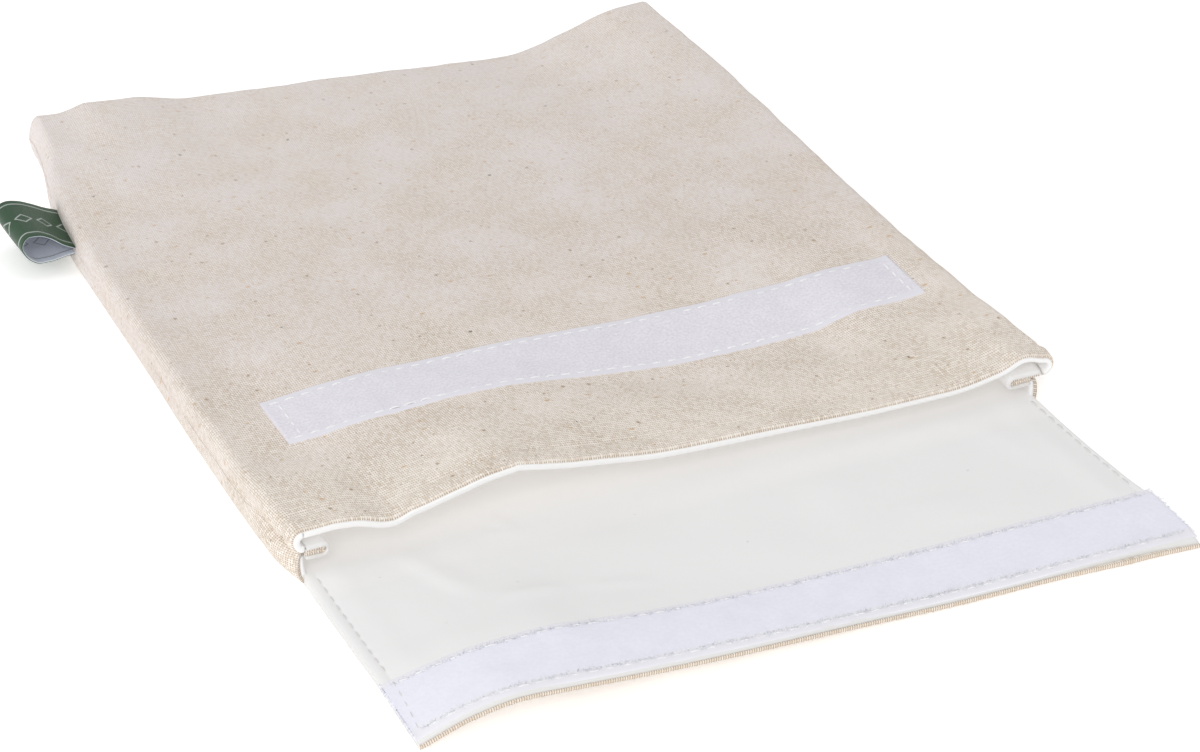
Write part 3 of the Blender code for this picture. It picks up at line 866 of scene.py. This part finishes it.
def make_floor():
    mesh = bpy.data.meshes.new("floor")
    half, low = 4.0, -0.0001
    corners = [(-half, -half, low), (half, -half, low), (half, half, low), (-half, half, low)]
    mesh.from_pydata(corners, [], [(0, 1, 2, 3)])
    floor = bpy.data.objects.new("floor", mesh)
    bpy.context.scene.collection.objects.link(floor)
    material = bpy.data.materials.new("plain pale floor")
    material.use_nodes = True
    shader = material.node_tree.nodes["Principled BSDF"]
    shader.inputs["Base Color"].default_value = (0.96, 0.96, 0.96, 1)
    shader.inputs["Roughness"].default_value = 0.9
    shader.inputs["Emission Color"].default_value = (1.0, 1.0, 1.0, 1)
    shader.inputs["Emission Strength"].default_value = FLOOR_GLOW
    mesh.materials.append(material)


def body_across():
    """Shares of the way across a body panel's face where its columns lie."""
    width = 221.0
    places = steps(0, width, ACROSS)
    sewn = np.array([1.3, 2.1, 2.8, 3.1, 3.7, 4.0, 4.7])
    places = places[(places < 1) | (places > width - 1) | ((places > 5.2) & (places < width - 5.2))]
    return np.sort(np.concatenate([places, sewn, [HEM_LINE], width - sewn, [width - HEM_LINE]])) / width


def hem(y):
    """How far the mouth's hem stands up from the canvas, and the hollow where it ends."""
    band = HEM_RISE * (1 - fade((y - HEM_DEPTH + 1.2) / 2.4))
    hollow = HEM_HOLLOW * np.exp(-(((y - HEM_DEPTH - 1.6) / HOLLOW_WIDTH) ** 2))
    return band - hollow


def front_relief(face):
    """How far the front panel's canvas stands up from its plain shape: hem, creases and soft waves."""
    x, y = face[..., 0], face[..., 1]
    lift = hem(y) + creased(HEMP_CREASES, x, y)
    lift += 0.14 * undulation(x, y, 26, 1) + 0.05 * undulation(x, y, 9, 4)
    return lift


def make_front(finishes):
    across = body_across()
    stations = np.concatenate([steps(0, 206, ALONG), np.arange(207, 265, ALONG)[1:-1], [264]])
    face = np.array(panel_rows(True, stations, across))
    lift = front_relief(face)
    inset = face[..., 1]
    u, v = lengths(face)
    stitched = np.sin(v * 2 * math.pi / (STITCH + SPACE)) > -0.3
    dashes = 0.5 * np.exp(-((from_ends(u) / 0.7) ** 2)) * stitched
    sewn = dashes * fade((inset - 4) / 12) * fade((150 - inset) / 70)
    cloth(
        "front_panel", face, True, -lift, HEMP - lift * 0.5, inset,
        finishes["hemp canvas"], radius=0.7, seated=0.85, sewn=sewn,
    )
    stations = np.concatenate([steps(-LINING_PEEK, 30, 1.2), np.arange(34, 257, 5.0), [INSIDE_END]])
    rows = [trimmed(panel_row(True, max(y, 0.0), across)) for y in stations]
    for row, y in zip(rows, stations):
        row[:, 1] += min(y, 0.0)
    face = np.array(rows)
    u, v = lengths(face)
    inset = face[..., 1] + LINING_PEEK
    thin = np.interp(face[..., 0], (-60, 20, 70), (0.0, 0.15, 0.5)) * np.exp(-np.maximum(inset, 0) / 4)
    seated = (GAP + 0.5) * np.exp(-((inset / 3.0) ** 2))
    wave = 0.2 * undulation(u, v, 30, 2) ** 2 * fade(inset / 8)
    cloth(
        "front_lining", face, True, LINING_BELOW - seated, LINING_BELOW + LINING + wave - thin, inset,
        finishes["white film"], radius=0.4, seated=0.3,
    )


def tape_face(heights, left, right, near):
    """A tape's part of a panel's face; left and right give where it ends at each y."""
    width = right(near) - left(near)
    across = steps(0, width, 1.5) / width
    rows = []
    for y in steps(near, near + TAPE_WIDTH, 0.8):
        x = left(y) + (right(y) - left(y)) * across
        rows.append(np.column_stack([x, np.full_like(x, y), heights(x, y)]))
    return np.array(rows)


def tape_lift(inset_along, u, v, rise, puckers):
    """How far a tape's middle stands over its selvedges, and the groove where it is sewn."""
    middle = rise * fade((inset_along - SELVEDGE + 0.5) / 1.2) - TAPE_THINNING * (1 - fade(inset_along / 1.5))
    groove = 0.02 * np.exp(-(((inset_along - SELVEDGE + 0.3) / 0.45) ** 2))
    return middle - groove + puckers * undulation(u, v, 11, 5)


def make_hook_tape(finishes):
    face = tape_face(front_height, lambda y: HOOK_LEFT, lambda y: HOOK_RIGHT, HOOK_NEAR)
    u, v = lengths(face)
    x, y = face[..., 0], face[..., 1]
    along = np.minimum(y - HOOK_NEAR, HOOK_NEAR + TAPE_WIDTH - y)
    inset = np.minimum(along, np.minimum(x - HOOK_LEFT, HOOK_RIGHT - x))
    base = front_relief(face)
    near = -base - 0.3 - tape_lift(along, u, v, 0.18, 0.04)
    cloth(
        "hook_tape", face, True, near, -base + 0.3, inset,
        finishes["hook tape"], radius=0.6, seated=1.0,
    )


def flap_lift(face, u, v):
    """How far the lining's folds lift it over the flap's canvas; nothing is lifted at sewn places."""
    x, y = face[..., 0], face[..., 1]
    left, right = flap_sides(y)
    sides = np.minimum(x - left, right - x)
    sewn = fade((y + 58) / 8) * fade((sides - 1.5) / 7.0)
    pinch = 0.3 * np.exp(-(((sides - 9.0) / 3.5) ** 2)) * fade((y + 60) / 6)
    folds = creased(LINING_CREASES, x, y) + 0.12 * (1 + undulation(u, v, 34, 3))
    rolled = sides * np.where(x > 0, 1.5, 1.0)
    roll = 0.2 * np.exp(-(((rolled - 1.6) / 1.0) ** 2)) - 0.16 * np.exp(-(((rolled - HEM_LINE) / 0.5) ** 2))
    return sewn * folds * fade((30 - y) / 20) + pinch * fade((20 - y) / 20) + roll * (y < 0) * (y > -82)


def make_back(finishes):
    across = body_across()
    stations = np.concatenate([steps(0, 206, 2.2, False), np.arange(208, 264, 2.2), [264]])
    body = panel_rows(False, stations, across)
    flap = []
    flap_stations = steps(FLAP_END, 0, ALONG)
    for y in flap_stations[flap_stations < -1]:
        row = flap_row(y, across)
        start, stop = np.repeat(row[:1], TURN_STEPS, 0), np.repeat(row[-1:], TURN_STEPS, 0)
        flap.append(np.vstack([start, row, stop]))
    face = np.array(flap + body)
    u, v = lengths(face)
    x, y = face[..., 0], face[..., 1]
    sides, edge, inset = flap_insets(x, y)
    inner = face[: len(flap)].copy()
    near = fade((y - edge - 1) / 5)
    face[..., 0] -= np.sign(x) * WRAP * np.clip(1 - sides / 6, 0, 1) * near
    bulge = np.exp(-(((x - EDGE_BULGE) / BULGE_WIDTH) ** 2)) * np.clip(1 - (y - edge) / 3, 0, 1)
    bulge = bulge * (y < NEAR_PART)
    face[..., 1] -= BULGE_OUT * bulge
    lower = 0.03 * undulation(u, v, 20, 6)
    lower = np.where(y > 0, 0, np.maximum(lower, 0))
    upper = HEMP + 0.4 * np.clip(1 - inset / 2, 0, 1) + 0.3 * bulge
    cloth(
        "back_panel_and_flap", face, False, lower, upper, inset,
        finishes["hemp canvas"], flap_cells(face, len(flap)), radius=0.35,
        seated=0.8, worn_and_shaded=1.0,
    )
    stations = np.concatenate([steps(0, 24, 1.6, False), np.arange(28, INSIDE_END, 6.0), [INSIDE_END]])
    body = [trimmed(panel_row(False, y, across)) for y in stations]
    inner[:, :, 1] += LINING_SHORT * np.clip((LOOP_NEAR - inner[:, :, 1]) / 2.2, 0, 1)
    face = np.array([*inner, *body])
    u, v = lengths(face)
    x, y = face[..., 0], face[..., 1]
    sides, edge, inset = flap_insets(x, y, LINING_SHORT)
    lift = flap_lift(face, u, v)
    raised = 0.22 * np.clip(1 - (y - edge) / 2, 0, 1) * (y < NEAR_PART)
    below = LINING_BELOW - GAP * fade((8 - y) / 8) + raised
    wrapped = np.clip((WRAP - sides) / 0.6, 0, 1) * (y < -1)
    below = below + (0.2 - below) * wrapped
    cloth(
        "back_and_flap_lining", face, False, below + lift * 0.8, LINING_BELOW + LINING + lift,
        inset, finishes["white film"], flap_cells(face, len(flap)), radius=0.6,
        seated=0.1, worn_and_shaded=1.0,
    )


def make_loop_tape(finishes):
    face = tape_face(flap_height, loop_left, loop_right, LOOP_NEAR)
    u, v = lengths(face)
    y = face[..., 1].copy()
    along = np.minimum(y - LOOP_NEAR, LOOP_NEAR + TAPE_WIDTH - y)
    face[..., 1] -= LOOP_FORWARD * np.clip(1 - (y - LOOP_NEAR) / TAPE_WIDTH, 0, 1)
    inset = np.minimum(along, from_ends(u))
    lift = tape_lift(along, u, v, 0.14, 0.05)
    seat = LOOP_BELOW - GAP
    cloth(
        "loop_tape", face, False, seat - 0.3, seat + 0.35 + lift, inset,
        finishes["loop tape"], radius=0.6, seated=0.0,
    )


def gusset_face(side, stations, depth):
    """A gusset's outer face: along the upper leaf, round the fold and back along the lower leaf."""
    rows = []
    for y in stations:
        ends = []
        for upper in (True, False):
            before, last = side_turn(side, upper, max(y, 0.0))[-2:]
            lean = abs(last[2] - before[2]) / np.linalg.norm(last - before)
            ends.append(abs(last[0]) - LEAF_GAP - depth * lean)
        fold = float(from_table(SIDES[side], "fold", y))
        middle = float(from_table(SIDES[side], "seam", y))
        fold -= 1.2 * math.exp(-max(y, 0.0) / 9)
        opened = SEAM_HALF + 0.1 * math.exp(-max(y, 0.0) / 9)
        leaf = np.linspace(0, 1, 8)[:-1]
        angle = np.linspace(0, math.pi, 13)
        out = np.concatenate([
            ends[0] + (fold - ends[0]) * leaf, fold - opened * np.sin(angle),
            fold + (ends[1] - fold) * (1 - leaf[::-1]),
        ])
        rise = np.concatenate([
            SEAM_HALF + (opened - SEAM_HALF) * fade(leaf), opened * np.cos(angle),
            -SEAM_HALF - (opened - SEAM_HALF) * fade(leaf[::-1]),
        ])
        rows.append(np.column_stack([side * out, np.full_like(out, y), middle + rise]))
    return np.array(rows)


def make_gusset(side, word, finishes):
    stations = np.concatenate([steps(0, 20, 1.0), np.arange(24, INSIDE_END, 6.0), [INSIDE_END]])
    face = gusset_face(side, stations, HEMP)
    upward = side > 0
    pressed = np.exp(-face[..., 1] / 9)
    cloth(
        f"{word}_gusset", face, upward, -0.3 * pressed, HEMP - 0.25 * pressed, face[..., 1],
        finishes["hemp canvas"], radius=0.5,
    )
    stations[stations == 0] = -LINING_PEEK
    face = gusset_face(side, stations, LINING_BELOW + LINING)
    inset = face[..., 1] + LINING_PEEK
    below = LINING_BELOW - 0.5 * np.exp(-inset / 9)
    cloth(
        f"{word}_gusset_lining", face, upward, below, below + LINING, inset,
        finishes["white film"], radius=0.5, seated=0.2, worn_and_shaded=1.0,
    )


def make_label(finishes):
    count, rows = 60, []
    places = np.arange(len(LABEL_LOOP))
    fine = np.linspace(0, len(LABEL_LOOP) - 1, count)
    table = {c: smooth(places, [getattr(p, c) for p in LABEL_LOOP], fine) for c in LoopPoint._fields}
    for y in steps(LABEL_NEAR, LABEL_FAR, 1.0):
        share = (y - LABEL_NEAR) / (LABEL_FAR - LABEL_NEAR)
        root = min(float(from_table(SIDES[-1], c, y)) for c in ("upper", "lower")) - LABEL_TUCK
        seam = float(from_table(SIDES[-1], "seam", y))
        out = (table["near_out"] + (table["far_out"] - table["near_out"]) * share) * LABEL_SHORT
        rise = table["near_rise"] + (table["far_rise"] - table["near_rise"]) * share
        rows.append(np.column_stack([-root - out, np.full_like(out, y), seam + rise]))
    face = np.array(rows)
    y = face[..., 1]
    inset = np.minimum(y - LABEL_NEAR, LABEL_FAR - y)
    label = cloth(
        "side_label", face, True, 0.0, RIBBON, inset,
        finishes["green satin"], radius=0.25,
    )
    label.data.materials.append(finishes["satin back"])
    side = np.empty(len(label.data.attributes["cloth"].data) * 3, "f4")
    label.data.attributes["cloth"].data.foreach_get("vector", side)
    inner = side.reshape(-1, 3)[:, 2] > 0.5
    for polygon in label.data.polygons:
        polygon.material_index = int(all(inner[v] for v in polygon.vertices))


def surface(heights, x, y, lift):
    """A point over a panel's face and the face's normal there."""
    e = 0.2
    z = float(heights(x, y))
    dx = (float(heights(x + e, y)) - z) / e
    dy = (float(heights(x, y + e)) - z) / e
    normal = np.array((-dx, -dy, 1.0))
    normal /= np.linalg.norm(normal)
    return np.array((x, y, z)) + normal * lift, normal


def stitches(name, lines, heights, lift, material, thread=THREAD):
    """Running stitches along lines of places: each a short thread that rises from the cloth and dips back."""
    points, faces, places = [], [], []
    rings, sides = STITCH_RINGS, STITCH_SIDES
    for line in lines:
        line = np.asarray(line, float)
        length = np.linalg.norm(np.diff(line, axis=0), axis=1)
        way = np.concatenate([[0.0], np.cumsum(length)])
        for number in range(int(way[-1] // (STITCH + SPACE))):
            start = number * (STITCH + SPACE) + SPACE / 2
            base = len(points)
            for ring in range(rings):
                t = ring / (rings - 1)
                at = start + STITCH * t
                x, y = (float(np.interp(at, way, line[:, k])) for k in range(2))
                on = [float(np.interp(at + LOOK_AHEAD, way, line[:, k])) for k in range(2)]
                arch = math.sin(math.pi * t) ** 0.5
                centre, normal = surface(heights, x, y, lift + (LIFT + END_DIP) * arch - END_DIP)
                forward = np.array((on[0] - x, on[1] - y, 0.0))
                forward /= max(np.linalg.norm(forward), 1e-9)
                beside = np.cross(normal, forward)
                radius = thread * (0.55 + 0.45 * arch)
                for k in range(sides):
                    angle = 2 * math.pi * k / sides
                    way_round = beside * math.cos(angle) + normal * math.sin(angle)
                    points.append(centre + way_round * radius)
                    places.append((at, k * 0.3, number))
            for ring in range(rings - 1):
                for k in range(sides):
                    a, b = base + ring * sides + k, base + ring * sides + (k + 1) % sides
                    faces.append((a, b, b + sides, a + sides))
            faces.append(tuple(base + k for k in reversed(range(sides))))
            faces.append(tuple(base + (rings - 1) * sides + k for k in range(sides)))
    return put(name, new_mesh(name, np.array(points), faces, np.array(places)), material)


def make_stitches(finishes):
    white, grey = finishes["white thread"], finishes["grey thread"]
    near, far = HOOK_NEAR + NEAR_IN, HOOK_NEAR + TAPE_WIDTH - FAR_IN
    left, right = HOOK_LEFT + 4.6, HOOK_RIGHT - 3.2
    lines = {
        "near": (0.2, [(HOOK_LEFT + 1.5, near), (right, near)]),
        "far": (0.34, [(HOOK_LEFT + 1.5, far), (right, far)]),
        "left": (0.36, [(left, near), (left, far)]),
        "right": (0.36, [(right, near), (right, far)]),
    }
    for word, (lift, line) in lines.items():
        name = f"hook_tape_{word}_stitches"
        stitches(name, [line], front_height, lift, white, HOOK_THREAD)
    near, far = LOOP_NEAR + NEAR_IN - LOOP_FORWARD, LOOP_NEAR + TAPE_WIDTH - FAR_IN
    film = LINING_BELOW + LINING
    rows = (
        ("loop_tape_near", [(-108, near), (108, near)], LOOP_BELOW - 0.05, white, "loop_tape", LOOP_THREAD),
        ("loop_tape_far", [(-108, far), (108, far)], LOOP_BELOW + 0.06, white, "loop_tape", LOOP_THREAD),
        (
            "loop_tape_end", [(-107.7, -58), (-108.4, -70), (-109.6, -83)], LOOP_BELOW + 0.08, grey,
            "loop_tape", FINE_THREAD,
        ),
        (
            "flap_left", [(-107.5, -2.0), (-107.6, -27.5), (-107.7, -56.8)], film, grey,
            "white_film", FINE_THREAD,
        ),
        (
            "flap_right", [(106.9, -2.0), (107.5, -30), (108.9, -56.8)], film + 0.2, grey,
            "white_film", FINE_THREAD,
        ),
    )
    for name, line, lift, material, slot, thread in rows:
        stitches(name + "_stitches", [line], flap_height, lift, material, thread)


def fibres(name, roots, ways, bends, reach, radius, material):
    """Short thin fibres, each from its root along its way and bent aside as it goes."""
    rings, sides = 4, 3
    t = np.linspace(0, 1, rings)[None, :, None]
    spine = roots[:, None] + (ways[:, None] * t + bends[:, None] * t**2) * reach[:, None, None]
    beside = np.cross(ways, (0.31, 0.17, 1.0))
    beside /= np.linalg.norm(beside, axis=1, keepdims=True)
    over = np.cross(beside, ways)
    turn = 2 * math.pi * np.arange(sides) / sides
    spoke = beside[:, None] * np.cos(turn)[:, None] + over[:, None] * np.sin(turn)[:, None]
    thickness = radius * (1 - 0.6 * t[..., None])
    points = spine[:, :, None] + spoke[:, None] * thickness
    base = (np.arange(len(roots)) * rings * sides)[:, None, None]
    ring = (np.arange(rings - 1) * sides)[None, :, None]
    a = base + ring + np.arange(sides)
    b = base + ring + (np.arange(sides) + 1) % sides
    quads = np.stack([b, a, a + sides, b + sides], axis=-1).reshape(-1, 4).tolist()
    first = base[:, 0, 0]
    caps = [[f + k for k in range(sides)] for f in first]
    caps += [[f + (rings - 1) * sides + k for k in reversed(range(sides))] for f in first]
    number = np.repeat(np.arange(len(roots)), rings * sides)
    places = np.column_stack([number * 0.7, np.tile(np.arange(rings * sides), len(roots)), number * 0.3])
    return put(name, new_mesh(name, points.reshape(-1, 3), quads + caps, places), material)


def edge_ends(chance, count):
    """Roots and ways of the canvas threads that end along the flap's near edge."""
    x = np.linspace(-109, 109.5, count) + chance.normal(0, 0.08, count)
    y = flap_edge(x)
    rise = chance.uniform(0.25, 1.0, count)
    roots = np.column_stack([x, y + 0.25, flap_height(x, FLAP_END) + rise])
    aside, up = chance.normal(0, 0.35, count), chance.normal(-0.1, 0.3, count)
    return roots, unit(np.column_stack([aside, np.full(count, -1.0), up]))


def tape_ends(chance, heights, x, near, lift, out, count):
    """Roots and ways of the fibres at a tape's cut end."""
    y = near + chance.uniform(0.2, TAPE_WIDTH - 0.2, count)
    x = np.array([x(v) for v in y])
    z = np.array([float(heights(a, b)) for a, b in zip(x, y)])
    roots = np.column_stack([x - out * 0.3, y, z + lift + chance.uniform(-0.35, 0.1, count)])
    aside, up = chance.normal(0, 0.35, count), chance.normal(-0.15, 0.3, count)
    return roots, unit(np.column_stack([np.full(count, out), aside, up]))


def pile_edge(chance, y, count):
    """Roots and ways of the loops that stand up along one side of the loop tape's pile."""
    x = chance.uniform(-110, 109.5, count)
    place = y + chance.normal(0, 0.35, count)
    z = flap_height(x, y) + LOOP_BELOW + 0.3
    ways = np.column_stack([chance.normal(0, 0.8, count), chance.normal(0, 0.8, count), np.full(count, 0.6)])
    return np.column_stack([x, place, z]), unit(ways)


def joined(ends):
    """The roots and the ways of several lots of fibres, each as one."""
    return (np.concatenate([end[k] for end in ends]) for k in range(2))


def make_fibres(finishes):
    chance = np.random.default_rng(7)
    count = 520
    roots, ways = edge_ends(chance, count)
    fibres(
        "flap_edge_threads", roots, ways, chance.normal(0, 0.3, (count, 3)), chance.uniform(0.25, 0.6, count),
        0.15, finishes["straw thread"],
    )
    ends = [
        tape_ends(chance, flap_height, loop_left, LOOP_NEAR, LOOP_BELOW + 0.25, -1, 160),
        tape_ends(chance, flap_height, loop_right, LOOP_NEAR, LOOP_BELOW + 0.25, 1, 160),
        pile_edge(chance, LOOP_NEAR + SELVEDGE + 0.2 - LOOP_FORWARD, 1300),
        pile_edge(chance, LOOP_NEAR + TAPE_WIDTH - SELVEDGE - 0.1, 1300),
    ]
    roots, ways = joined(ends)
    reach = chance.uniform(0.35, 0.8, len(roots))
    tufts = slice(160, 320)
    reach[tufts] *= 0.5 + 1.1 * np.abs(np.sin(roots[tufts, 1] * math.pi / 1.4)) ** 2
    fibres(
        "loop_tape_fibres", roots, ways, chance.normal(0, 0.5, (len(roots), 3)), reach,
        0.05, finishes["tape fibre"],
    )
    ends = [
        tape_ends(chance, front_height, lambda y: HOOK_LEFT, HOOK_NEAR, 0.25, -1, 110),
        tape_ends(chance, front_height, lambda y: HOOK_RIGHT, HOOK_NEAR, 0.25, 1, 110),
    ]
    roots, ways = joined(ends)
    fibres(
        "hook_tape_fibres", roots, ways, chance.normal(0, 0.5, (len(roots), 3)),
        chance.uniform(0.3, 0.6, len(roots)), 0.05, finishes["tape fibre"],
    )


def main():
    make_camera()
    make_floor()
    make_lights()
    weave_group()
    fleck_group()
    mottle_group()
    finishes = {
        "hemp canvas": hemp_canvas(),
        "white film": white_film(),
        "hook tape": tape_finish(
            "hook tape", HOOK_NEAR, (0.775, 0.755, 0.81), (0.79, 0.775, 0.83), 0.8, 0.14, 0.05, 0.05
        ),
        "loop tape": tape_finish(
            "loop tape", LOOP_NEAR, (0.835, 0.835, 0.925), (0.845, 0.84, 0.895), 1.2, 0.035, 0.03, 0.08
        ),
        "green satin": ribbon_finish("green satin", (0.017, 0.070, 0.026), (0.50, 0.55, 0.52), 0.42),
        "satin back": ribbon_finish("satin back", (0.68, 0.72, 0.80), (0.22, 0.25, 0.27), 0.42),
        "white thread": thread_finish("white thread", (0.97, 0.97, 0.98)),
        "grey thread": thread_finish("grey thread", (0.74, 0.73, 0.71)),
        "straw thread": thread_finish("straw thread", (0.86, 0.77, 0.66)),
        "tape fibre": thread_finish("tape fibre", (0.86, 0.87, 0.94)),
    }
    make_front(finishes)
    make_back(finishes)
    make_gusset(-1, "left", finishes)
    make_gusset(1, "right", finishes)
    make_hook_tape(finishes)
    make_loop_tape(finishes)
    make_label(finishes)
    make_stitches(finishes)
    make_fibres(finishes)


main()
